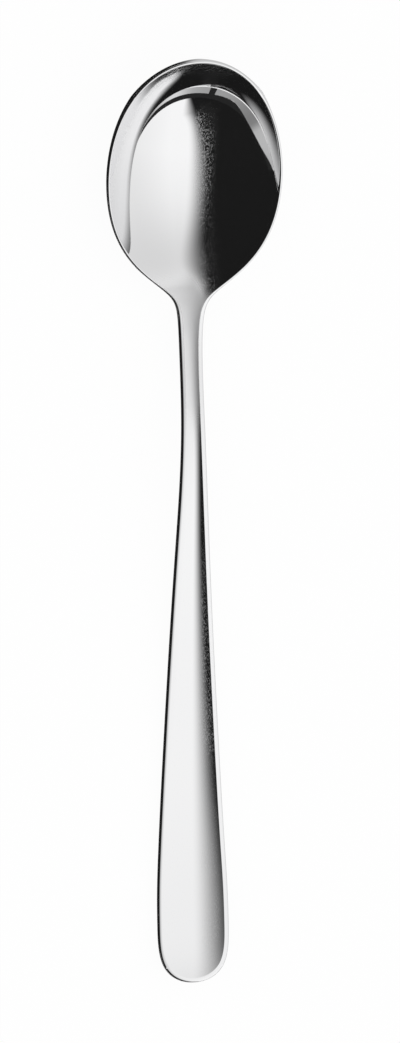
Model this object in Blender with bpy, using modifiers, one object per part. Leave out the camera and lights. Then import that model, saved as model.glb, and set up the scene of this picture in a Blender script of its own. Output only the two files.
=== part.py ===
"""Serving spoon pressed from one piece of stainless steel: a hollow bowl, a narrow neck and a long dished handle.

Units are metres and +Z is up. The spoon lies on the table plane z = 0 with its bowl towards +Y, resting on the
belly of the bowl and on the underside of the handle. Stations are distances from the tip of the bowl.
"""

import math

import bmesh
import bpy
import numpy as np
from mathutils import Matrix

# Outline seen from above
OVERALL_LENGTH = 0.2500
BOWL_WIDTH = 0.0456
TIP_TO_WIDEST = 0.0312
WIDEST_TO_HEEL = 0.0327
TIP_FULLNESS = 0.13
NECK_WIDTH = 0.0052
NECK_FILLET = 0.0022
HANDLE_END_WIDTH = 0.0192
HANDLE_END_LENGTH = 0.0145
HANDLE_END_FULLNESS = 0.75
FLARE_START = 0.0700
FLARE_EASE_IN = 0.0580
FLARE_EASE_OUT = 0.0200

# Hollow of the bowl and dish of the handle
TIP_DEPTH = 0.0130
HEEL_DEPTH = 0.0101
HANDLE_DISH = 0.0008
DISH_BLEND = 0.0240

# Wall of the bowl: share of the bowl's length, and how much of the wall's curve is a plain round there
WALL_ROUNDNESS = ((0.00, 0.51), (0.49, 0.64), (1.00, 1.16))

# Side view: share of the length of bowl or handle, and height of the upper edge there
RIM_HEIGHTS = ((0.00, 0.0208), (0.17, 0.0178), (0.49, 0.0142), (0.76, 0.0114), (0.90, 0.0099), (1.00, 0.0081))
HANDLE_HEIGHTS = ((0.17, 0.0089), (0.37, 0.0063), (0.66, 0.0021), (0.76, 0.0015), (0.88, 0.0020), (1.00, 0.0034))

# Thickness of the metal
RIM_THICKNESS = 0.0014
BOWL_WALL = 0.0018
NECK_THICKNESS = 0.0042
HANDLE_EDGE = 0.0024
HANDLE_END_THICKNESS = 0.0025
THICKEN_START = 0.0500
EDGE_ROUND = 0.0010

# Flat worn where the metal touches the table
REST_FLAT = 0.00008

# Spacing of the cage
COLUMNS = 6
TIP_ROWS = 6
BODY_ROWS = 28
END_ROWS = 4
NECK_DENSITY = 1.5
NECK_SPREAD = 0.0130
CORNER_ANGLE = math.radians(4.0)

HALF_BOWL = BOWL_WIDTH / 2
HALF_NECK = NECK_WIDTH / 2
HALF_END = HANDLE_END_WIDTH / 2
HEEL = TIP_TO_WIDEST + WIDEST_TO_HEEL
END_START = OVERALL_LENGTH - HANDLE_END_LENGTH


def ease(value):
    """Smooth step from 0 to 1."""
    t = min(max(value, 0.0), 1.0)
    return t * t * (3.0 - 2.0 * t)


def soft_ramp(value):
    """Integral of the smooth step: a ramp of slope 1 that starts without a kink."""
    t = max(value, 0.0)
    return t - 0.5 if t > 1.0 else t**3 - t**4 / 2.0


def natural_spline(knots):
    """Smooth curve through the knots, with no bending at its two ends."""
    x = np.array([knot[0] for knot in knots])
    y = np.array([knot[1] for knot in knots])
    h = np.diff(x)
    matrix = np.eye(len(x))
    right = np.zeros(len(x))
    for k in range(1, len(x) - 1):
        matrix[k, k - 1 : k + 2] = h[k - 1], 2.0 * (h[k - 1] + h[k]), h[k]
        right[k] = 6.0 * ((y[k + 1] - y[k]) / h[k] - (y[k] - y[k - 1]) / h[k - 1])
    bend = np.linalg.solve(matrix, right)

    def value(at):
        k = int(np.clip(np.searchsorted(x, at) - 1, 0, len(h) - 1))
        a = (x[k + 1] - at) / h[k]
        b = (at - x[k]) / h[k]
        cubic = (a**3 - a) * bend[k] + (b**3 - b) * bend[k + 1]
        return float(a * y[k] + b * y[k + 1] + cubic * h[k] ** 2 / 6.0)

    return value


def handle_half_width(station):
    """Half-width of the handle: parallel at the neck, an even flare, parallel again at the round end."""
    ease_out_start = END_START - FLARE_EASE_OUT
    run = END_START - FLARE_START - (FLARE_EASE_IN + FLARE_EASE_OUT) / 2.0
    slope = (HALF_END - HALF_NECK) / run
    opened = FLARE_EASE_IN * soft_ramp((station - FLARE_START) / FLARE_EASE_IN)
    closed = FLARE_EASE_OUT * soft_ramp((station - ease_out_start) / FLARE_EASE_OUT)
    return HALF_NECK + slope * (opened - closed)


def half_width(station):
    """Half-width of the whole outline at a station."""
    if station <= TIP_TO_WIDEST:
        t = 1.0 - station / TIP_TO_WIDEST
        return HALF_BOWL * math.sqrt(max((1.0 - t * t) * (1.0 + TIP_FULLNESS * t * t), 0.0))
    if station >= END_START:
        t = (station - END_START) / HANDLE_END_LENGTH
        return HALF_END * math.sqrt(max((1.0 - t * t) * (1.0 + HANDLE_END_FULLNESS * t * t), 0.0))
    t = (station - TIP_TO_WIDEST) / WIDEST_TO_HEEL
    square = (1.0 - TIP_FULLNESS) * WIDEST_TO_HEEL**2 / (2.0 * TIP_TO_WIDEST**2)
    bowl = HALF_BOWL * (1.0 - square * t**2 - (1.0 - square) * t**4)
    handle = handle_half_width(station)
    fillet = NECK_FILLET * ease(t)
    return (bowl + handle) / 2.0 + math.hypot((bowl - handle) / 2.0, fillet)


edge_height = natural_spline(
    [(share * HEEL, height) for share, height in RIM_HEIGHTS]
    + [(HEEL + share * (OVERALL_LENGTH - HEEL), height) for share, height in HANDLE_HEIGHTS]
)
wall_roundness = natural_spline(WALL_ROUNDNESS)


def hollow(x, station):
    """Depth of the front face below its edge: the bowl's hollow running out into the handle's dish."""
    inside = half_width(station) ** 2 - x * x
    to_rim = min(max(1.0 - inside / HALF_BOWL**2, 0.0), 1.0)
    along = min(max(station / HEEL, 0.0), 1.0)
    roundness = wall_roundness(along)
    depth = TIP_DEPTH + (HEEL_DEPTH - TIP_DEPTH) * along
    bowl = depth * (1.0 - roundness * to_rim - (1.0 - roundness) * to_rim**2)
    handle = HANDLE_DISH * inside / (HALF_END * handle_half_width(min(station, END_START)))
    blend = ease((station - HEEL) / DISH_BLEND + 0.5)
    return bowl + (handle - bowl) * blend


def thickness(x, station):
    """Thickness of the metal, fullest along the middle of the neck."""
    to_neck = ease((station - THICKEN_START) / (FLARE_START - THICKEN_START))
    to_end = ease((station - FLARE_START) / (END_START - FLARE_START))
    neck = NECK_THICKNESS + (HANDLE_END_THICKNESS - NECK_THICKNESS) * to_end
    middle = BOWL_WALL + (neck - BOWL_WALL) * to_neck
    edge = RIM_THICKNESS + (HANDLE_EDGE - RIM_THICKNESS) * to_neck
    share = min(abs(x) / max(half_width(station), EDGE_ROUND), 1.0)
    return edge + (middle - edge) * (1.0 - share**2)


def quarter_disc(u, v):
    """Point of a unit square laid out on a quarter of the unit disc."""
    return u * math.sqrt(1.0 - v * v / 2.0), v * math.sqrt(1.0 - u * u / 2.0)


def round_end_rows(half, length, centre, towards, fullness, rows):
    """Rows across a rounded end, from its widest line to its edge, as (x, station) pairs."""
    across = np.linspace(0.0, 1.0, COLUMNS)
    squeeze = 1.0 - CORNER_ANGLE / (math.pi / 4.0)

    def on_outline(angle):
        t = math.sin(angle)
        x = half * math.cos(angle) * math.sqrt(1.0 + fullness * t * t)
        return x, centre + towards * length * t

    made = []
    for v in np.linspace(0.0, 1.0, rows + 1)[1:]:
        row = []
        for u in across:
            disc_x, disc_y = quarter_disc(u, v)
            x = disc_x * (half - EDGE_ROUND) * math.sqrt(1.0 + fullness * disc_y * disc_y)
            row.append((x, centre + towards * (length - EDGE_ROUND) * disc_y))
        side_x, side_y = quarter_disc(1.0, v)
        row.append(on_outline(math.atan2(side_y, side_x) * squeeze))
        made.append(row)
    last = []
    for u in across:
        top_x, top_y = quarter_disc(u, 1.0)
        last.append(on_outline(math.pi / 2.0 - math.atan2(top_x, top_y) * squeeze))
    last.append(on_outline(math.pi / 4.0))
    made.append(last)
    return made


def body_rows():
    """Straight rows from the widest part of the bowl to the round end, closest together at the neck."""
    stations = np.linspace(TIP_TO_WIDEST, END_START, 2001)
    density = 1.0 + NECK_DENSITY * np.exp(-(((stations - HEEL) / NECK_SPREAD) ** 2))
    count = np.concatenate(([0.0], np.cumsum((density[1:] + density[:-1]) / 2.0)))
    made = []
    for station in np.interp(np.linspace(0.0, count[-1], BODY_ROWS + 1), count, stations):
        half = half_width(station)
        row = [(u * (half - EDGE_ROUND), station) for u in np.linspace(0.0, 1.0, COLUMNS)]
        row.append((half, station))
        made.append(row)
    return made


def front_half():
    """Right half of the front face: a flat grid pressed to the outline and into the hollow."""
    tip = round_end_rows(HALF_BOWL, TIP_TO_WIDEST, TIP_TO_WIDEST, -1.0, TIP_FULLNESS, TIP_ROWS)
    end = round_end_rows(HALF_END, HANDLE_END_LENGTH, END_START, 1.0, HANDLE_END_FULLNESS, END_ROWS)
    rows = end[::-1] + body_rows()[::-1] + tip
    blank = bmesh.new()
    bmesh.ops.create_grid(blank, x_segments=COLUMNS, y_segments=len(rows) - 1, size=0.5)
    walls = {}
    for vert in blank.verts:
        column = round((vert.co.x + 0.5) * COLUMNS)
        row = round((vert.co.y + 0.5) * (len(rows) - 1))
        x, station = rows[row][column]
        vert.co = (x, -station, edge_height(station) - hollow(x, station))
        walls[vert.index] = thickness(x, station)
    mesh = bpy.data.meshes.new("spoon")
    blank.to_mesh(mesh)
    blank.free()
    return mesh, walls


def lay_on_table(spoon):
    """Turn and lower the spoon until belly and handle touch the table, its length centred on the origin."""
    graph = bpy.context.evaluated_depsgraph_get()
    shape = spoon.evaluated_get(graph).to_mesh()
    points = np.array([vert.co for vert in shape.vertices])
    bowl = points[:, 1] > -HEEL
    turn = 0.0
    for _ in range(12):
        y = points[:, 1] * math.cos(turn) - points[:, 2] * math.sin(turn)
        z = points[:, 1] * math.sin(turn) + points[:, 2] * math.cos(turn)
        belly = np.argmin(np.where(bowl, z, 1.0))
        end = np.argmin(np.where(bowl, 1.0, z))
        turn -= math.atan2(z[belly] - z[end], y[belly] - y[end])
    y = points[:, 1] * math.cos(turn) - points[:, 2] * math.sin(turn)
    z = points[:, 1] * math.sin(turn) + points[:, 2] * math.cos(turn)
    spoon.evaluated_get(graph).to_mesh_clear()
    spoon.rotation_euler = (turn, 0.0, 0.0)
    spoon.location = (0.0, -(y.min() + y.max()) / 2.0, -z.min() - REST_FLAT)


def polished_steel():
    material = bpy.data.materials.new("polished_steel")
    material.use_nodes = True
    shader = material.node_tree.nodes["Principled BSDF"]
    shader.inputs["Base Color"].default_value = (0.80, 0.80, 0.81, 1.0)
    shader.inputs["Metallic"].default_value = 1.0
    shader.inputs["Roughness"].default_value = 0.08
    return material


for old in list(bpy.data.objects):
    bpy.data.objects.remove(old)

parts = bpy.data.collections.new("serving_spoon")
cutters = bpy.data.collections.new("cutters")
bpy.context.scene.collection.children.link(parts)
bpy.context.scene.collection.children.link(cutters)

# Bowl, neck and handle
mesh, walls = front_half()
spoon = bpy.data.objects.new("spoon", mesh)
parts.objects.link(spoon)
mesh.materials.append(polished_steel())
mesh.shade_smooth()

thickest = max(walls.values())
wall = spoon.vertex_groups.new(name="wall")
for index, amount in walls.items():
    wall.add([index], amount / thickest, "REPLACE")

mirror = spoon.modifiers.new("Mirror", "MIRROR")
mirror.use_axis = (True, False, False)
mirror.merge_threshold = 0.00001

solidify = spoon.modifiers.new("Wall", "SOLIDIFY")
solidify.thickness = thickest
solidify.offset = -1.0
solidify.vertex_group = "wall"

subsurf = spoon.modifiers.new("Polish", "SUBSURF")
subsurf.levels = 1
subsurf.render_levels = 1

bpy.context.view_layer.update()
lay_on_table(spoon)

# Rest flats
table_mesh = bpy.data.meshes.new("table_cutter")
table_bm = bmesh.new()
table_size = (2.0 * BOWL_WIDTH, 1.2 * OVERALL_LENGTH, 0.02)
bmesh.ops.create_cube(table_bm, size=1.0, matrix=Matrix.Diagonal((*table_size, 1.0)))
table_bm.to_mesh(table_mesh)
table_bm.free()
table = bpy.data.objects.new("table_cutter", table_mesh)
table.location = (0.0, 0.0, -table_size[2] / 2.0)
table.hide_render = True
table.display_type = "WIRE"
cutters.objects.link(table)

rest = spoon.modifiers.new("Rest", "BOOLEAN")
rest.operation = "DIFFERENCE"
rest.solver = "EXACT"
rest.object = table
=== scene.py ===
# %% [markdown]
# # A serving spoon in polished steel
#
# The spoon is one pressed piece of stainless steel: an egg-shaped bowl, a slim neck and a long dished
# handle. The imported CAD model is loaded first, as the frame. It says where the spoon lies. Blender
# counts in metres, so the spoon's sizes are written in millimetres and multiplied by MM.

# %% Load the frame
import math

import bpy
import numpy as np
from mathutils import Matrix, Vector


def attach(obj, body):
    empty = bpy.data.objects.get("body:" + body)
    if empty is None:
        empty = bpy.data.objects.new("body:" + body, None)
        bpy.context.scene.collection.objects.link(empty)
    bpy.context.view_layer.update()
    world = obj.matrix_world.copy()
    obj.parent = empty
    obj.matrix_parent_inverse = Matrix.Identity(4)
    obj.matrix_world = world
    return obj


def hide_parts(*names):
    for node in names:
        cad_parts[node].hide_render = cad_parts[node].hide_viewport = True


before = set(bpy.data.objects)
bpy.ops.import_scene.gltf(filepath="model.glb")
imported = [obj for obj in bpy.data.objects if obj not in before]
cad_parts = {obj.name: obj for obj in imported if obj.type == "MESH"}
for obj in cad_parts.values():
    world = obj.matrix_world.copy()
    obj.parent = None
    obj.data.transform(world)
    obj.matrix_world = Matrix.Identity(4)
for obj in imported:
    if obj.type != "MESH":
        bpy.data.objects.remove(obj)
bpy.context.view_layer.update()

MM = 0.001
scene = bpy.context.scene
scene.view_settings.view_transform = "Standard"
print("frame nodes:", sorted(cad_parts))

# %% [markdown]
# ## Directions of the picture
#
# The spoon is looked at from above, with the bowl at the top of the picture. The camera leans to the
# left of the handle and towards the tip, which is why the bowl looks shorter and rounder than it is. A
# camera could be turned by hand until the picture looks right. Three angles and some vector arithmetic
# were chosen instead, because each angle can then be read and changed on its own.

# %% Directions of the picture
CAMERA_LEFT = math.radians(12.0)
CAMERA_TO_TIP = math.radians(12.0)
CAMERA_TURN = math.radians(0.4)

towards_camera = Vector(
    (
        -math.sin(CAMERA_LEFT) * math.cos(CAMERA_TO_TIP),
        math.sin(CAMERA_TO_TIP),
        math.cos(CAMERA_LEFT) * math.cos(CAMERA_TO_TIP),
    )
)
end_to_tip = Vector((0.0, 1.0, 0.0))
up = (end_to_tip - towards_camera * end_to_tip.dot(towards_camera)).normalized()
right = up.cross(towards_camera)
picture_up = up * math.cos(CAMERA_TURN) + right * math.sin(CAMERA_TURN)
picture_right = right * math.cos(CAMERA_TURN) - up * math.sin(CAMERA_TURN)
print("the camera looks from", [round(v, 2) for v in towards_camera])

# %% [markdown]
# ## Camera
#
# A short lens close by would make the nearer end of the spoon look too large. The camera stands far back
# with a long lens instead, which keeps the handle's edges almost free of perspective. The length of the
# lens follows from the distance and from the height that the picture takes in.

# %% Camera
CAMERA_DISTANCE = 1.5
VIEW_HEIGHT = 0.27571
VIEW_TARGET = Vector((0.0, 0.0, 0.007))
VIEW_SHIFT = (0.00195, 0.00148)

bpy.ops.object.select_all(action="DESELECT")
bpy.ops.object.camera_add()
camera = bpy.context.object
camera.name = "camera"
camera.matrix_world = Matrix((picture_right, picture_up, towards_camera)).transposed().to_4x4()
camera.location = (
    VIEW_TARGET
    + towards_camera * CAMERA_DISTANCE
    + picture_right * VIEW_SHIFT[0]
    + picture_up * VIEW_SHIFT[1]
)
camera.data.lens = camera.data.sensor_width * CAMERA_DISTANCE / VIEW_HEIGHT
scene.camera = camera
print("lens:", round(camera.data.lens, 1), "mm")

# %% [markdown]
# ## Outline of the handle
#
# A spoon starts as a flat blank, cut to its outline. The outline could be drawn point by point, but a
# mirror shows every uneven point, so it is a formula of the station, the distance from the bowl's tip.
# The handle is slim at the neck, eases into an even flare and eases out of it before the round end.

# %% Outline of the handle
LENGTH = 251.0 * MM
HALF_NECK = 2.9 * MM
HALF_END = 9.8 * MM
END_LENGTH = 14.5 * MM
END_START = LENGTH - END_LENGTH
FLARE_START = 70.6 * MM
FLARE_EASE_IN = 58.0 * MM
FLARE_EASE_OUT = 20.0 * MM


def soft_ramp(t):
    t = np.maximum(t, 0.0)
    return np.where(t > 1.0, t - 0.5, t**3 - t**4 / 2.0)


def handle_half_width(station):
    run = END_START - FLARE_START - (FLARE_EASE_IN + FLARE_EASE_OUT) / 2.0
    slope = (HALF_END - HALF_NECK) / run
    opened = FLARE_EASE_IN * soft_ramp((station - FLARE_START) / FLARE_EASE_IN)
    closed = FLARE_EASE_OUT * soft_ramp((station - END_START + FLARE_EASE_OUT) / FLARE_EASE_OUT)
    return HALF_NECK + slope * (opened - closed)


print("handle", 2 * HALF_NECK / MM, "mm wide at the neck and", 2 * HALF_END / MM, "mm at the end")

# %% [markdown]
# ## Outline of the bowl
#
# The bowl is an egg with its blunt end at the tip. From the widest place its flanks sweep in to the heel,
# where the bowl ends, and a fillet carries them into the neck. Separate arcs could be joined here, but
# their joints would show in the polish. One smooth blend of flank and handle has no joints.

# %% Outline of the bowl
HALF_BOWL = 23.4 * MM
TIP_TO_WIDEST = 31.8 * MM
WIDEST_TO_HEEL = 32.7 * MM
HEEL = TIP_TO_WIDEST + WIDEST_TO_HEEL
TIP_FULLNESS = 0.13
END_FULLNESS = 0.68
FLANK_SQUARE = 0.50
NECK_FILLET = 3.1 * MM


def ease(t):
    t = np.clip(t, 0.0, 1.0)
    return t * t * (3.0 - 2.0 * t)


def round_end(t, half, fullness):
    return half * np.sqrt(np.maximum((1.0 - t * t) * (1.0 + fullness * t * t), 0.0))


def half_width(station):
    tip = round_end(1.0 - station / TIP_TO_WIDEST, HALF_BOWL, TIP_FULLNESS)
    end = round_end((station - END_START) / END_LENGTH, HALF_END, END_FULLNESS)
    t = (station - TIP_TO_WIDEST) / WIDEST_TO_HEEL
    flank = HALF_BOWL * (1.0 - FLANK_SQUARE * t**2 - (1.0 - FLANK_SQUARE) * t**4)
    handle = handle_half_width(station)
    body = (flank + handle) / 2.0 + np.hypot((flank - handle) / 2.0, NECK_FILLET * ease(t))
    return np.where(station <= TIP_TO_WIDEST, tip, np.where(station >= END_START, end, body))


print("bowl", 2 * HALF_BOWL / MM, "mm wide, heel", round(HEEL / MM, 1), "mm from the tip")

# %% [markdown]
# ## Rounded edge
#
# All round the front runs a narrow rounded edge, and inside it a soft crease where the hollow begins. The
# edge is finer at the bowl's rim than along the thicker handle. A Bevel modifier could round it, but its
# width is the same everywhere, so the crease gets an outline of its own, one edge width further in.

# %% Rounded edge
RIM_ROUND = 0.65 * MM
HANDLE_ROUND = 1.25 * MM
THICKEN_START = 50.6 * MM


def to_neck(station):
    return ease((station - THICKEN_START) / (FLARE_START - THICKEN_START))


def edge_round(station):
    return RIM_ROUND + (HANDLE_ROUND - RIM_ROUND) * to_neck(station)


def crease_half_width(station):
    tip_t = (TIP_TO_WIDEST - station) / (TIP_TO_WIDEST - RIM_ROUND)
    end_t = (station - END_START) / (END_LENGTH - HANDLE_ROUND)
    tip = round_end(tip_t, HALF_BOWL - RIM_ROUND, TIP_FULLNESS)
    end = round_end(end_t, HALF_END - HANDLE_ROUND, END_FULLNESS)
    body = half_width(station) - edge_round(station)
    return np.where(station <= TIP_TO_WIDEST, tip, np.where(station >= END_START, end, body))


print("edge", RIM_ROUND / MM, "mm wide at the rim and", HANDLE_ROUND / MM, "mm along the handle")

# %% [markdown]
# ## Side view
#
# The press bends the blank. Seen from the side, the rim climbs from the neck to the tip, and the handle
# sinks to the table and lifts a little at its end. A Bezier curve could carry this line. A cubic spline
# through a few heights was chosen because its bend never jumps, so no reflection breaks. Each pair is a
# share of the bowl's or the handle's length and a height in millimetres.

# %% Side view
RIM_HEIGHTS = ((0.00, 20.8), (0.17, 17.8), (0.49, 14.2), (0.76, 11.4), (0.90, 9.9), (1.00, 8.1))
HANDLE_HEIGHTS = ((0.17, 8.9), (0.37, 6.3), (0.66, 2.1), (0.76, 1.5), (0.88, 2.0), (1.00, 3.4))


def smooth_curve(knots):
    at, value = np.array(knots).T
    gap = np.diff(at)
    slope = np.diff(value) / gap
    bending = np.eye(len(at))
    load = np.zeros(len(at))
    for k in range(1, len(at) - 1):
        bending[k, k - 1 : k + 2] = gap[k - 1], 2.0 * (gap[k - 1] + gap[k]), gap[k]
        load[k] = 6.0 * (slope[k] - slope[k - 1])
    bend = np.linalg.solve(bending, load)

    def curve(x):
        k = np.clip(np.searchsorted(at, x) - 1, 0, len(gap) - 1)
        b = (x - at[k]) / gap[k]
        a = 1.0 - b
        cubic = (a**3 - a) * bend[k] + (b**3 - b) * bend[k + 1]
        return a * value[k] + b * value[k + 1] + cubic * gap[k] ** 2 / 6.0

    return curve


heights = [(share * HEEL, height * MM) for share, height in RIM_HEIGHTS]
heights += [(HEEL + share * (LENGTH - HEEL), height * MM) for share, height in HANDLE_HEIGHTS]
edge_height = smooth_curve(heights)
shown = edge_height(np.array([0.0, HEEL, LENGTH])) / MM
print("edge height at tip, heel and end:", np.round(shown, 1), "mm")

# %% [markdown]
# ## Hollow
#
# The press also sinks the front. The bowl's hollow follows the outline, steeper at the tip than at the
# heel, and runs out through the neck into the handle's shallow dish. A scaled half ball would be quicker
# but would meet the neck with a step. Here bowl and dish are two depths, blended over a length.

# %% Hollow
TIP_DEPTH = 13.0 * MM
HEEL_DEPTH = 10.1 * MM
WALL_ROUNDNESS = ((0.00, 0.51), (0.49, 0.64), (1.00, 1.16))
NECK_DISH = 1.04 * MM
END_DISH = 0.52 * MM
DISH_SPAN = 8.0 * MM
DISH_HOLD = 1.5
DISH_BLEND = 24.0 * MM
wall_roundness = smooth_curve(WALL_ROUNDNESS)


def to_end(station):
    return ease((station - FLARE_START) / (END_START - FLARE_START))


def hollow(x, station):
    inside = np.maximum(crease_half_width(station) ** 2 - x * x, 0.0)
    to_rim = np.clip(1.0 - inside / (HALF_BOWL - RIM_ROUND) ** 2, 0.0, 1.0)
    along = np.clip(station / HEEL, 0.0, 1.0)
    roundness = wall_roundness(along)
    depth = TIP_DEPTH + (HEEL_DEPTH - TIP_DEPTH) * along
    bowl = depth * (1.0 - roundness * to_rim - (1.0 - roundness) * to_rim**2)
    dish = NECK_DISH + (END_DISH - NECK_DISH) * to_end(station) ** DISH_HOLD
    crease = np.maximum(crease_half_width(np.minimum(station, END_START)), RIM_ROUND)
    handle = dish * inside / HALF_END * np.sqrt(1.0 / crease**2 + 1.0 / DISH_SPAN**2)
    return bowl + (handle - bowl) * ease((station - HEEL) / DISH_BLEND + 0.5)


print("hollow at the bowl's widest place:", round(float(hollow(0.0, TIP_TO_WIDEST)) / MM, 1), "mm deep")

# %% [markdown]
# ## Wall
#
# The metal is thickest at the neck, where a spoon is loaded most, and thinnest at the rim of the bowl. A
# plain Solidify gives one thickness everywhere, so the thickness is a formula too. It falls from the
# middle of the spoon to the edge.

# %% Wall
RIM_THICKNESS = 1.4 * MM
BOWL_WALL = 1.8 * MM
NECK_THICKNESS = 4.2 * MM
HANDLE_EDGE = 1.9 * MM
END_THICKNESS = 2.5 * MM


def thickness(x, station):
    neck = NECK_THICKNESS + (END_THICKNESS - NECK_THICKNESS) * to_end(station)
    middle = BOWL_WALL + (neck - BOWL_WALL) * to_neck(station)
    edge = RIM_THICKNESS + (HANDLE_EDGE - RIM_THICKNESS) * to_neck(station)
    share = np.minimum(np.abs(x) / np.maximum(half_width(station), RIM_ROUND), 1.0)
    return edge + (middle - edge) * (1.0 - share**2)


print("wall in the middle of the neck:", round(float(thickness(0.0, FLARE_START)) / MM, 1), "mm")

# %% [markdown]
# ## Rows at the round ends
#
# The blank is a grid that covers the right half of the spoon. A fan of triangles at the tip and the end
# would pinch the reflections at its point. So the square grid is bent into a quarter disc there, and no
# row shrinks to a point. The last column and row lie on the outline and the ones before on the crease,
# which is what rounds the edge when the mesh is smoothed.

# %% Rows at the round ends
COLUMNS = 14
TIP_ROWS = 14
END_ROWS = 10
CORNER_ANGLE = math.radians(2.0)
CLOSER_TO_RIM = 1.5
across = 1.0 - (1.0 - np.linspace(0.0, 1.0, COLUMNS)) ** CLOSER_TO_RIM


def round_end_rows(half, length, centre, towards, fullness, edge, rows):
    squeeze = 1.0 - CORNER_ANGLE / (math.pi / 4.0)

    def on_outline(angle):
        t = np.sin(angle)
        x = half * np.cos(angle) * np.sqrt(1.0 + fullness * t * t)
        return np.stack([x, centre + towards * length * t], axis=-1)

    made = []
    for v in 1.0 - (1.0 - np.linspace(0.0, 1.0, rows + 1)[1:]) ** CLOSER_TO_RIM:
        disc_x = across * math.sqrt(1.0 - v * v / 2.0)
        disc_y = v * np.sqrt(1.0 - across**2 / 2.0)
        x = disc_x * (half - edge) * np.sqrt(1.0 + fullness * disc_y**2)
        inner = np.stack([x, centre + towards * (length - edge) * disc_y], axis=-1)
        side = math.atan2(v * math.sqrt(0.5), math.sqrt(1.0 - v * v / 2.0)) * squeeze
        made.append(np.vstack([inner, on_outline(side)]))
    top = np.arctan2(across * math.sqrt(0.5), np.sqrt(1.0 - across**2 / 2.0)) * squeeze
    made.append(np.vstack([on_outline(math.pi / 2.0 - top), on_outline(math.pi / 4.0)]))
    return made


tip_rows = round_end_rows(HALF_BOWL, TIP_TO_WIDEST, TIP_TO_WIDEST, -1.0, TIP_FULLNESS, RIM_ROUND, TIP_ROWS)
end_rows = round_end_rows(HALF_END, END_LENGTH, END_START, 1.0, END_FULLNESS, HANDLE_ROUND, END_ROWS)
print("rows at the tip and at the end:", len(tip_rows), "and", len(end_rows))

# %% [markdown]
# ## Rows along the body
#
# Between the round ends the rows lie straight across. Evenly spaced rows would be too coarse at the neck,
# where the outline and the hollow change fastest. So the rows are spread by a density that swells there.

# %% Rows along the body
BODY_ROWS = 64
NECK_DENSITY = 1.5
NECK_SPREAD = 13.0 * MM
DENSITY_SAMPLES = 2001


def body_rows():
    stations = np.linspace(TIP_TO_WIDEST, END_START, DENSITY_SAMPLES)
    density = 1.0 + NECK_DENSITY * np.exp(-(((stations - HEEL) / NECK_SPREAD) ** 2))
    count = np.concatenate(([0.0], np.cumsum((density[1:] + density[:-1]) / 2.0)))
    made = []
    for station in np.interp(np.linspace(0.0, count[-1], BODY_ROWS + 1), count, stations):
        half = float(half_width(station))
        x = np.append(across * (half - float(edge_round(station))), half)
        made.append(np.stack([x, np.full(COLUMNS + 1, station)], axis=-1))
    return made


blank_rows = np.array(end_rows[::-1] + body_rows()[::-1] + tip_rows)
last_row = len(blank_rows) - 1
print("rows and columns of the blank:", blank_rows.shape[:2])

# %% [markdown]
# ## Pressing the blank
#
# By hand this would be a grid pulled into shape with proportional editing, but the bowl is a mirror and
# would show each pull as a dent. So the grid is added with its operator, and every vertex is then set by
# the formulas above. The outline falls a little below the crease, so that the edge leans outwards.

# %% Press the blank
LAND_FALL = 0.04

bpy.ops.object.select_all(action="DESELECT")
bpy.ops.mesh.primitive_grid_add(x_subdivisions=COLUMNS, y_subdivisions=last_row, size=1.0)
spoon = bpy.context.object
spoon.name = "spoon_polished"
spoon.data.name = "spoon_polished"


def spoon_points():
    flat = np.empty(len(spoon.data.vertices) * 3)
    spoon.data.vertices.foreach_get("co", flat)
    return flat.reshape(-1, 3)


grid = spoon_points()
column = np.round((grid[:, 0] + 0.5) * COLUMNS).astype(int)
row = np.round((grid[:, 1] + 0.5) * last_row).astype(int)
x, station = blank_rows[row, column].T
on_outline = (column == COLUMNS) | (row == 0) | (row == last_row)
fall = on_outline * LAND_FALL * edge_round(station)
pressed = np.stack([x, -station, edge_height(station) - hollow(x, station) - fall], axis=-1)
spoon.data.vertices.foreach_set("co", pressed.ravel())
print("pressed", len(pressed), "points")

# %% [markdown]
# ## Creases
#
# Subdivision rounds everything alike. On the real spoon the crease beside the edge is crisper than the
# edge itself. Extra loops of faces could hold it, at the price of many more points. An edge crease does
# the same with one number for each edge.

# %% Creases
CREASE = 0.42
RIM_CREASE = 0.20
HANDLE_CREASE = 0.32


def edge_pairs():
    pairs = np.empty(len(spoon.data.edges) * 2, dtype=np.int32)
    spoon.data.edges.foreach_get("vertices", pairs)
    return pairs.reshape(-1, 2)


on_crease = (column == COLUMNS - 1) & (row >= 1) & (row <= last_row - 1)
on_crease |= ((row == 1) | (row == last_row - 1)) & (column <= COLUMNS - 1)
pairs = edge_pairs()
outline_crease = RIM_CREASE + (HANDLE_CREASE - RIM_CREASE) * to_neck(station)
crease = np.where(on_outline[pairs].all(axis=1), outline_crease[pairs].mean(axis=1), 0.0)
crease = np.where(on_crease[pairs].all(axis=1), CREASE, crease)
creases = spoon.data.attributes.new("crease_edge", "FLOAT", "EDGE")
creases.data.foreach_set("value", crease.astype(np.float32))
print("creased edges:", int((crease > 0.0).sum()))

# %% [markdown]
# ## Left half and wall
#
# Only the right half was pressed. A Mirror modifier makes the left one, so the two can't differ. Solidify
# then grows the metal behind the front face. It reads the thickness from a vertex group, where each
# weight is a share of the thickest wall. The back stays free of creases, because there the metal is soft
# and round.

# %% Left half and wall
MERGE_DISTANCE = 0.01 * MM

walls = thickness(x, station)
wall_group = spoon.vertex_groups.new(name="wall")
for index, wall in enumerate(walls / walls.max()):
    wall_group.add([index], float(wall), "REPLACE")


def add_modifier(kind, **settings):
    bpy.ops.object.modifier_add(type=kind)
    modifier = spoon.modifiers[-1]
    for name, value in settings.items():
        setattr(modifier, name, value)
    bpy.ops.object.modifier_apply(modifier=modifier.name)


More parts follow.
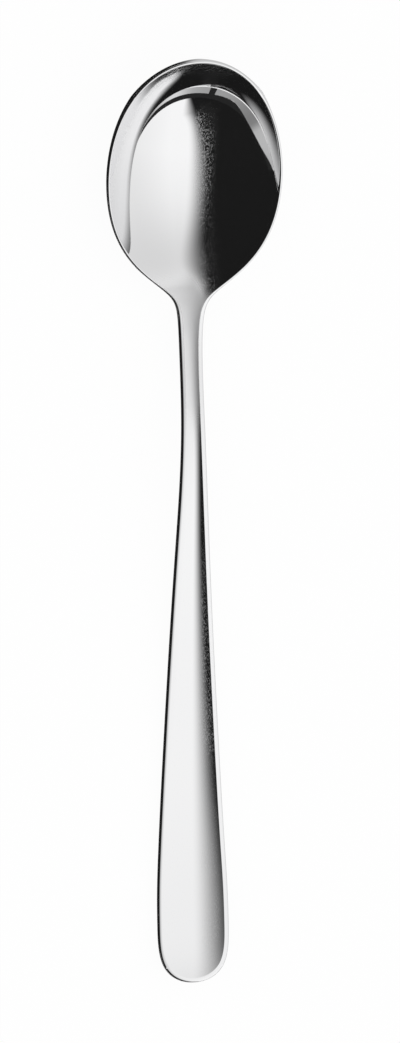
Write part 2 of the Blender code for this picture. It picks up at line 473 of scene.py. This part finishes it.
add_modifier("MIRROR", use_axis=(True, False, False), merge_threshold=MERGE_DISTANCE)
front_points = len(spoon.data.vertices)
add_modifier("SOLIDIFY", thickness=float(walls.max()), offset=-1.0, vertex_group="wall")
crease = np.empty(len(spoon.data.edges), dtype=np.float32)
spoon.data.attributes["crease_edge"].data.foreach_get("value", crease)
crease[(edge_pairs() >= front_points).any(axis=1)] = 0.0
spoon.data.attributes["crease_edge"].data.foreach_set("value", crease)
print("wall from", round(walls.min() / MM, 2), "to", round(walls.max() / MM, 2), "mm")

# %% [markdown]
# ## Smooth skin
#
# A spoon is ground and polished until no facet is left. Smooth shading alone would hide the facets in the
# middle but not along the outline. Subdivision Surface rounds the mesh itself, and it is applied so that
# the mesh holds the shape.

# %% Smooth skin
SMOOTH_LEVELS = 2

add_modifier("SUBSURF", levels=SMOOTH_LEVELS, render_levels=SMOOTH_LEVELS)
spoon.vertex_groups.clear()
bpy.ops.object.shade_smooth()
print("smooth skin:", len(spoon.data.polygons), "faces")

# %% [markdown]
# ## Haze at the neck
#
# The polishing wheel reaches the narrow neck badly, so the steel is hazier there and clears up along the
# handle. A painted mask could hold this. A value at each point was chosen, because it comes from the same
# stations as the shape. Each pair is a station in millimetres and a roughness. On the side that mirrors
# the light the haze begins a little nearer to the tip, and it stops at the crease.

# %% Haze at the neck
NECK_HAZE = (
    (60.5, 0.0),
    (65.5, 0.56),
    (70.0, 0.56),
    (76.5, 0.45),
    (92.0, 0.34),
    (100.0, 0.15),
    (108.0, 0.03),
    (118.0, 0.0),
)
HAZE_LEAN = 4.5 * MM
LEAN_SIDE = 4.0 * MM
LEAN_END = 72.0 * MM
LEAN_FADE = 6.0 * MM
HAZE_EDGE = 0.4 * MM

points = spoon_points()
skin_x, skin_station = points[:, 0], -points[:, 1]
lean = HAZE_LEAN * ease(1.0 - skin_x / LEAN_SIDE) * ease((LEAN_END - skin_station) / LEAN_FADE)
haze = np.interp((skin_station + lean) / MM, *np.array(NECK_HAZE).T)
haze *= ease((crease_half_width(skin_station) - np.abs(skin_x)) / HAZE_EDGE + 1.0)
haze_values = spoon.data.attributes.new("haze", "FLOAT", "POINT")
haze_values.data.foreach_set("value", haze.astype(np.float32))
print("roughest place at the neck:", round(float(haze.max()), 2))

# %% [markdown]
# ## On the table
#
# The spoon rests on two places: the belly of the bowl and the underside of the handle. It could be let
# fall in a simulation, but turning it about the X axis until both places touch gives the same rest in a
# few steps. It is then set down with its length centred, as the CAD node lies, and the two places are
# worn to small flats.

# %% On the table
REST_FLAT = 0.08 * MM
TURN_STEPS = 12
OUT_OF_REACH = 1.0


def turned(points, angle):
    y = points[:, 1] * math.cos(angle) - points[:, 2] * math.sin(angle)
    z = points[:, 1] * math.sin(angle) + points[:, 2] * math.cos(angle)
    return y, z


in_bowl = points[:, 1] > -HEEL
turn = 0.0
for _ in range(TURN_STEPS):
    y, z = turned(points, turn)
    belly = np.argmin(np.where(in_bowl, z, OUT_OF_REACH))
    under = np.argmin(np.where(in_bowl, OUT_OF_REACH, z))
    turn -= math.atan2(z[belly] - z[under], y[belly] - y[under])
y, z = turned(points, turn)
spoon.rotation_euler = (turn, 0.0, 0.0)
spoon.location = (0.0, -(y.min() + y.max()) / 2.0, -z.min() - REST_FLAT)
bpy.ops.object.transform_apply(location=True, rotation=True, scale=True)

points = spoon_points()
points[:, 2] = np.maximum(points[:, 2], 0.0)
spoon.data.vertices.foreach_set("co", points.ravel())
spoon.data.update()
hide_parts("spoon")
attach(spoon, "root")
print("turned by", round(math.degrees(turn), 2), "degrees")
print("size", np.round(np.ptp(points, axis=0) / MM, 1), "mm")

# %% [markdown]
# ## Grain
#
# Polished steel keeps the fine marks of the wheel, and the table has the grain of paper. Both are the same
# effect at other sizes, so it is built once, as a node group. Each material places the group with its own
# numbers. The group puts out one value, and the shaders stay in the materials.

# %% Grain
grain_group = bpy.data.node_groups.new("fine_grain", "ShaderNodeTree")
grain_group.interface.new_socket("Place", in_out="INPUT", socket_type="NodeSocketVector")
for name in ("Scale", "Stretch", "Detail"):
    grain_group.interface.new_socket(name, in_out="INPUT", socket_type="NodeSocketFloat")
grain_group.interface.new_socket("Grain", in_out="OUTPUT", socket_type="NodeSocketFloat")


def feed(tree, socket, value):
    if isinstance(value, float):
        socket.default_value = value
    else:
        tree.links.new(value, socket)


given = grain_group.nodes.new("NodeGroupInput").outputs
stretch = grain_group.nodes.new("ShaderNodeCombineXYZ")
for axis, value in (("X", 1.0), ("Y", given["Stretch"]), ("Z", 1.0)):
    feed(grain_group, stretch.inputs[axis], value)
stretched = grain_group.nodes.new("ShaderNodeVectorMath")
stretched.operation = "MULTIPLY"
feed(grain_group, stretched.inputs[0], given["Place"])
feed(grain_group, stretched.inputs[1], stretch.outputs[0])
texture = grain_group.nodes.new("ShaderNodeTexNoise")
feed(grain_group, texture.inputs["Vector"], stretched.outputs[0])
for name in ("Scale", "Detail"):
    feed(grain_group, texture.inputs[name], given[name])
feed(grain_group, grain_group.nodes.new("NodeGroupOutput").inputs["Grain"], texture.outputs[0])
print("node group:", grain_group.name)

# %% [markdown]
# ## Helpers for materials
#
# A material is a net of small nodes, and wiring them one by one hides what the net does. These helpers
# each add one node and hand back its output, so a mask reads like a sum. One places the grain, one moves
# a value from one range to another, and one joins two values.

# %% Helpers for materials
RANGE_SOCKETS = ("From Min", "From Max", "To Min", "To Max")


def grain(tree, place, size, stretch, detail):
    node = tree.nodes.new("ShaderNodeGroup")
    node.node_tree = grain_group
    feed(tree, node.inputs["Place"], place)
    for name, value in (("Scale", 1.0 / size), ("Stretch", stretch), ("Detail", detail)):
        feed(tree, node.inputs[name], value)
    return node.outputs["Grain"]


def ranged(tree, value, from_range, to_range, kind="SMOOTHSTEP"):
    node = tree.nodes.new("ShaderNodeMapRange")
    node.interpolation_type = kind
    feed(tree, node.inputs["Value"], value)
    for name, limit in zip(RANGE_SOCKETS, (*from_range, *to_range)):
        feed(tree, node.inputs[name], limit)
    return node.outputs[0]


def joined(tree, operation, first, second):
    node = tree.nodes.new("ShaderNodeMath")
    node.operation = operation
    feed(tree, node.inputs[0], first)
    feed(tree, node.inputs[1], second)
    return node.outputs[0]


def axes(tree, place):
    split = tree.nodes.new("ShaderNodeSeparateXYZ")
    feed(tree, split.inputs[0], place)
    return split.outputs


print("helpers for materials: grain, ranged, joined, axes")

# %% [markdown]
# ## Polished steel
#
# Bare steel is a pure mirror with a slightly grey tint, so the shader is all metal. What keeps it from
# looking like chrome is the polish. A stripe beside the middle of the bowl is rubbed with fine specks,
# long in the direction of the polish, under clouds that come and go. A photographed texture could show
# this. A procedural one was chosen, because it has no seams and follows Object coordinates. Each line of
# RUBBED is an axis, the range over which the rubbing fades in, and its share outside.

# %% Polished steel
STEEL_COLOUR = (0.89, 0.89, 0.895, 1.0)
POLISH = (0.03, 0.38)
SPECK_SIZE = 0.22 * MM
SPECK_STRETCH = 0.3
SPECK_RANGE = (0.38, 0.68)
SPECK_DEPTH = (0.20, 1.0)
CLOUD_SIZE = 14.0 * MM
CLOUD_RANGE = (0.35, 0.60)
CLOUD_DEPTH = (0.55, 1.0)
POLISH_DETAIL = 1.0
RUBBED = (
    ("X", (0.5 * MM, 3.5 * MM), 0.15),
    ("X", (9.0 * MM, 6.0 * MM), 0.15),
    ("Y", (84.0 * MM, 102.0 * MM), 0.55),
    ("Y", (116.0 * MM, 108.0 * MM), 0.0),
)

steel = bpy.data.materials.new("polished_steel")
steel.use_nodes = True
tree = steel.node_tree
shader = tree.nodes["Principled BSDF"]
shader.inputs["Base Color"].default_value = STEEL_COLOUR
shader.inputs["Metallic"].default_value = 1.0

place = tree.nodes.new("ShaderNodeTexCoord").outputs["Object"]
specks = ranged(tree, grain(tree, place, SPECK_SIZE, SPECK_STRETCH, POLISH_DETAIL), SPECK_RANGE, SPECK_DEPTH)
clouds = ranged(tree, grain(tree, place, CLOUD_SIZE, 1.0, POLISH_DETAIL), CLOUD_RANGE, CLOUD_DEPTH)
rubbing = joined(tree, "MULTIPLY", specks, clouds)
directions = axes(tree, place)
for axis, fade, outside in RUBBED:
    rubbing = joined(tree, "MULTIPLY", rubbing, ranged(tree, directions[axis], fade, (outside, 1.0)))

neck = tree.nodes.new("ShaderNodeAttribute")
neck.attribute_name = "haze"
polish = ranged(tree, rubbing, (0.0, 1.0), POLISH)
feed(tree, shader.inputs["Roughness"], joined(tree, "MAXIMUM", polish, neck.outputs["Fac"]))
spoon.data.materials.clear()
spoon.data.materials.append(steel)
print("material:", steel.name)

# %% [markdown]
# ## Table
#
# The spoon lies on a plain white table with a faint paper grain. Lit by lamps, it would grow darker away
# from them. So for the camera and in the metal it glows evenly, with a little of the true surface mixed
# in, which leaves the soft shadow beside the spoon. The Light Path node tells which rays look at it.

# %% Table
FLOOR_SIZE = 40.0
FLOOR_DROP = 0.2 * MM
PAPER_GRAIN = 1.5 * MM
PAPER_DETAIL = 2.0
PAPER_WHITE = (0.94, 1.0)
FLOOR_GLOW = 0.95

bpy.ops.object.select_all(action="DESELECT")
bpy.ops.mesh.primitive_plane_add(size=FLOOR_SIZE, location=(0.0, 0.0, -FLOOR_DROP))
floor = bpy.context.object
floor.name = "floor"

paper = bpy.data.materials.new("white_table")
paper.use_nodes = True
tree = paper.node_tree
tree.nodes.remove(tree.nodes["Principled BSDF"])
place = tree.nodes.new("ShaderNodeTexCoord").outputs["Object"]
white = ranged(tree, grain(tree, place, PAPER_GRAIN, 1.0, PAPER_DETAIL), (0.0, 1.0), PAPER_WHITE, "LINEAR")
surface = tree.nodes.new("ShaderNodeBsdfDiffuse")
feed(tree, surface.inputs["Color"], white)
glow = tree.nodes.new("ShaderNodeEmission")
rays = tree.nodes.new("ShaderNodeLightPath").outputs
seen = joined(tree, "MAXIMUM", rays["Is Camera Ray"], rays["Is Glossy Ray"])
seen = joined(tree, "MAXIMUM", seen, rays["Is Transmission Ray"])


def mix_shaders(tree, share, first, second):
    mix = tree.nodes.new("ShaderNodeMixShader")
    for socket, value in zip(mix.inputs, (share, first, second)):
        feed(tree, socket, value)
    feed(tree, tree.nodes["Material Output"].inputs["Surface"], mix.outputs[0])


mix_shaders(tree, joined(tree, "MULTIPLY", seen, FLOOR_GLOW), surface.outputs[0], glow.outputs[0])
floor.data.materials.append(paper)
print("table", FLOOR_SIZE, "m wide")

# %% [markdown]
# ## Room
#
# The light comes from a pale room all round. It could be an image of a studio, but two gradients are
# enough and need no file. The room is brighter behind the handle's end than beyond the tip, and a little
# darker far out on the right, so the metal shades from one end to the other. The camera itself sees white.

# %% Room
ROOM_WHITE = (1.0, 1.0, 1.0, 1.0)
ALONG_RANGE = (-0.45, 0.65)
ALONG_LIGHT = (1.03, 0.76)
SIDE_RANGE = (0.45, 0.95)
SIDE_LIGHT = (1.0, 0.89)

world = bpy.data.worlds.new("white_room")
scene.world = world
world.use_nodes = True
tree = world.node_tree
directions = axes(tree, tree.nodes.new("ShaderNodeTexCoord").outputs["Generated"])
lengthways = ranged(tree, directions["Y"], ALONG_RANGE, ALONG_LIGHT, "LINEAR")
sideways = ranged(tree, directions["X"], SIDE_RANGE, SIDE_LIGHT, "LINEAR")
level = tree.nodes.new("ShaderNodeMix")
feed(tree, level.inputs["Factor"], tree.nodes.new("ShaderNodeLightPath").outputs["Is Camera Ray"])
feed(tree, level.inputs["A"], joined(tree, "MULTIPLY", lengthways, sideways))
feed(tree, level.inputs["B"], 1.0)
feed(tree, tree.nodes["Background"].inputs["Strength"], level.outputs["Result"])
tree.nodes["Background"].inputs["Color"].default_value = ROOM_WHITE
print("room light from", ALONG_LIGHT[1], "beyond the tip to", ALONG_LIGHT[0], "behind the end")

# %% [markdown]
# ## Cards
#
# A polished spoon shows the studio around it, and photographers shape it with black and grey cards. Each
# card here is a grid whose points are set one by one. It glows with its own shade, so that no lamp can
# change it. The cards are seen only in the metal: the camera, the shadows and the table don't know them.

# %% Cards
def glowing(name, shade):
    material = bpy.data.materials.new(name)
    material.use_nodes = True
    tree = material.node_tree
    tree.nodes.remove(tree.nodes["Principled BSDF"])
    glow = tree.nodes.new("ShaderNodeEmission")
    glow.inputs["Color"].default_value = (shade, shade, shade, 1.0)
    feed(tree, tree.nodes["Material Output"].inputs["Surface"], glow.outputs[0])
    return material


def add_card(name, columns, place_of, material):
    bpy.ops.object.select_all(action="DESELECT")
    bpy.ops.mesh.primitive_grid_add(x_subdivisions=columns, y_subdivisions=1, size=1.0)
    card = bpy.context.object
    card.name = name
    for vert in card.data.vertices:
        vert.co = place_of(vert.co.x + 0.5, vert.co.y + 0.5)
    card.visible_camera = False
    card.visible_diffuse = False
    card.visible_shadow = False
    card.visible_transmission = False
    card.data.materials.append(material)
    return card


print("helpers for cards: glowing, add_card")

# %% [markdown]
# ## Black card
#
# A large black card hangs level over the spoon's left and, far out, bends down to the table. Its edge
# runs nearly along the handle. A hollow mirror swaps the sides, so it makes the dark right half of the
# bowl. A box could carry the card, but one sheet with a bend has no faces that aren't seen. Behind the
# handle's end a bisect cuts it away below a low angle, where other cards show.

# %% Black card
BOWL_PLACE = Vector((0.0, 0.088, 0.010))
CARD_HEIGHT = 1.0
CARD_LEFT = -9.0
CARD_RIGHT = 1.25
CARD_LENGTH = 12.0
CARD_TURN = math.radians(14.5)
CARD_BLACK = 0.011
CARD_BEND = ((CARD_LEFT, 0.0), (CARD_LEFT, CARD_HEIGHT), (CARD_RIGHT, CARD_HEIGHT))
LOW_ANGLE = math.radians(12.0)


def over_spoon(u, v):
    x, z = CARD_BEND[round(u * 2)]
    place = Vector((x, (v - 0.5) * CARD_LENGTH, z))
    return BOWL_PLACE + Matrix.Rotation(CARD_TURN, 3, "Z") @ place


black = glowing("black_card", CARD_BLACK)
black_card = add_card("black_card", 2, over_spoon, black)
bpy.ops.object.mode_set(mode="EDIT")
bpy.ops.mesh.select_all(action="SELECT")
bpy.ops.mesh.bisect(
    plane_co=BOWL_PLACE,
    plane_no=(0.0, math.sin(LOW_ANGLE), math.cos(LOW_ANGLE)),
    clear_inner=True,
)
bpy.ops.object.mode_set(mode="OBJECT")
print("black card:", len(black_card.data.vertices), "points")

# %% [markdown]
# ## Soft edge of the black card
#
# A hard edge would cut the bowl in two with a sharp line, and on the real spoon the light fades over it.
# So the card turns clear towards its edge, as if it were sprayed thin. The black part widens beyond the
# heel. The faded part is narrowest at one place and opens from there as a parabola, which keeps the edge
# free of kinks. Distances along the card are counted from the bowl.

# %% Soft edge of the black card
EDGE_FROM = -0.30
BLACK_WIDTHS = (0.065, 0.29)
BLACK_CHANGES = (-0.30, 0.85)
SOFT_LEAST = 0.36
SOFT_OPENING = 0.30
SOFT_NARROWEST = -0.84
SOFT_ENDS = (-1.50, 0.85)

tree = black.node_tree
turn_back = tree.nodes.new("ShaderNodeVectorRotate")
turn_back.rotation_type = "Z_AXIS"
turn_back.inputs["Center"].default_value = BOWL_PLACE
feed(tree, turn_back.inputs["Angle"], -CARD_TURN)
feed(tree, turn_back.inputs["Vector"], tree.nodes.new("ShaderNodeTexCoord").outputs["Object"])
directions = axes(tree, turn_back.outputs["Vector"])


def from_bowl(ends):
    return [BOWL_PLACE.y + end for end in ends]


black_limit = ranged(tree, directions["Y"], from_bowl(BLACK_CHANGES), BLACK_WIDTHS)
to_ends = [end - SOFT_NARROWEST for end in SOFT_ENDS]
from_narrowest = ranged(tree, directions["Y"], from_bowl(SOFT_ENDS), to_ends, "LINEAR")
opening = joined(tree, "MULTIPLY", joined(tree, "MULTIPLY", from_narrowest, from_narrowest), SOFT_OPENING)
soft_limit = joined(tree, "ADD", opening, SOFT_LEAST)
from_line = joined(tree, "SUBTRACT", directions["X"], EDGE_FROM)
clearness = ranged(tree, from_line, (black_limit, soft_limit), (0.0, 1.0))
clear = tree.nodes.new("ShaderNodeBsdfTransparent")
mix_shaders(tree, clearness, tree.nodes["Emission"].outputs[0], clear.outputs[0])
print("soft edge at least", round(SOFT_LEAST - BLACK_WIDTHS[0], 2), "m wide")

# %% [markdown]
# ## Low card
#
# Behind the handle's end stands a low grey card. The steep wall at the bowl's tip mirrors it as a thin
# crescent. Its top edge is wavy, which bends the crescent's ends. A row of small cards could do this. One
# card with a spline for its top was chosen, because it has no gap but the one that is wanted. Each pair
# is a place across and a height.

# %% Low card
LOW_DISTANCE = 2.0
LOW_ENDS = (-8.0, 4.5)
LOW_COLUMNS = 50
GAP = (-0.25, -0.07)
LOW_TOP = (
    (-8.0, 0.05),
    (-5.4, 0.24),
    (-3.9, 0.60),
    (-2.8, 0.67),
    (-1.4, 0.42),
    (-0.9, 0.26),
    (-0.3, 0.31),
    (0.3, 0.31),
    (1.3, 0.26),
    (2.5, 0.33),
    (4.5, 0.20),
)
low_top = smooth_curve(LOW_TOP)


def on_floor(x):
    return 0.0


def upright_card(name, ends, bottom, top, material):
    def standing(u, v):
        x = ends[0] + (ends[1] - ends[0]) * u
        edge = top if v > 0.5 else bottom
        return x, BOWL_PLACE.y - LOW_DISTANCE, edge(x)

    return add_card(name, LOW_COLUMNS, standing, material)


grey = glowing("low_card", 1.0)
upright_card("low_card.left", (LOW_ENDS[0], GAP[0]), on_floor, low_top, grey)
upright_card("low_card.right", (GAP[1], LOW_ENDS[1]), on_floor, low_top, grey)
print("low card", round(float(low_top(0.0)), 2), "m high in the middle")

# %% [markdown]
# ## Shades of the low card
#
# The crescent isn't one grey: it is lightest near the middle and darker to both sides. Lamps on the card
# would give such changes but also spill light on the spoon. A colour ramp across the card sets the greys
# directly. Each pair is a place across and a grey.

# %% Shades of the low card
LOW_SHADES = (
    (-5.5, 0.48),
    (-2.6, 0.50),
    (-2.1, 0.24),
    (-0.7, 0.34),
    (0.4, 0.44),
    (1.0, 0.76),
    (2.2, 0.35),
)
ANY_PLACE = 0.5

tree = grey.node_tree
first, last = LOW_SHADES[0][0], LOW_SHADES[-1][0]
shades = tree.nodes.new("ShaderNodeValToRGB")
shades.color_ramp.interpolation = "CARDINAL"
while len(shades.color_ramp.elements) < len(LOW_SHADES):
    shades.color_ramp.elements.new(ANY_PLACE)
for element, (across_card, shade) in zip(shades.color_ramp.elements, LOW_SHADES):
    element.position = (across_card - first) / (last - first)
    element.color = (shade, shade, shade, 1.0)
directions = axes(tree, tree.nodes.new("ShaderNodeTexCoord").outputs["Object"])
feed(tree, shades.inputs[0], ranged(tree, directions["X"], (first, last), (0.0, 1.0), "LINEAR"))
feed(tree, tree.nodes["Emission"].inputs["Color"], shades.outputs["Color"])
print("greys of the low card:", len(shades.color_ramp.elements))

# %% [markdown]
# ## Dark strip and side card
#
# A dark strip stands on top of the low card and parts its crescent from the bright middle of the bowl. The
# same dark fills the gap in the card. A black card on the left, from beside the bowl to far beyond the
# tip, darkens what the bowl mirrors low on that side. A darker room would do this too, but it would dull
# the whole spoon.

# %% Dark strip and side card
STRIP_ANGLE = math.radians(15.5)
STRIP_SLOPE = -0.02
STRIP_DARK = 0.02
SIDE_CARD_LEFT = -2.5
SIDE_CARD_ENDS = (-0.70, 6.0)


def strip_top(x):
    return max(LOW_DISTANCE * math.tan(STRIP_ANGLE) + STRIP_SLOPE * x, low_top(x))


def beside_bowl(u, v):
    return SIDE_CARD_LEFT, SIDE_CARD_ENDS[round(u)], CARD_HEIGHT * v


dark = glowing("dark_strip", STRIP_DARK)
upright_card("dark_gap", GAP, on_floor, low_top, dark)
upright_card("dark_strip", LOW_ENDS, low_top, strip_top, dark)
add_card("side_card", 1, beside_bowl, glowing("side_card", CARD_BLACK))
print("dark strip up to", round(float(strip_top(0.0)), 2), "m")

# %% [markdown]
# ## Painted shade under the spoon
#
# The rounded edge of the spoon looks sideways and down, so it mirrors the table right beside it. The
# glowing table shows no shade there, so a sheet just above the table paints that shade in: dark on the
# left and a lighter grey on the right, seen only in the metal. It draws the fine dark line along the left
# edge and leaves the right edge pale. Painting lines on the spoon would fix them to the metal, and they
# would be wrong from every other side.

# %% Painted shade under the spoon
SHADE_SHEET_DROP = 0.1 * MM
SHADE_SHEET_SIDES = (-2.5, 0.20)
SHADE_SHEET_ENDS = (-0.30, 0.60)
SHADE_SHEET_CHANGES = (-0.008, 0.009)
PAINTED_TABLE_SHADES = (0.012, 0.60)


def under_spoon(u, v):
    return SHADE_SHEET_SIDES[round(u)], SHADE_SHEET_ENDS[round(v)], -SHADE_SHEET_DROP


# Painted shade: this sheet's greys stand in for the table's shade beside the spoon, as the metal mirrors it.
painted_shade_sheet = glowing("painted_table_shade", 1.0)
tree = painted_shade_sheet.node_tree
directions = axes(tree, tree.nodes.new("ShaderNodeTexCoord").outputs["Object"])
shade = ranged(tree, directions["X"], SHADE_SHEET_CHANGES, PAINTED_TABLE_SHADES)
feed(tree, tree.nodes["Emission"].inputs["Strength"], shade)
add_card("painted_table_shade", 1, under_spoon, painted_shade_sheet)
print("cloth from", PAINTED_TABLE_SHADES[0], "on the left to", PAINTED_TABLE_SHADES[1], "on the right")

# %% [markdown]
#
# The spoon, its table, the room and the cards are now in place.

# %% Finish
print("end of the scene")
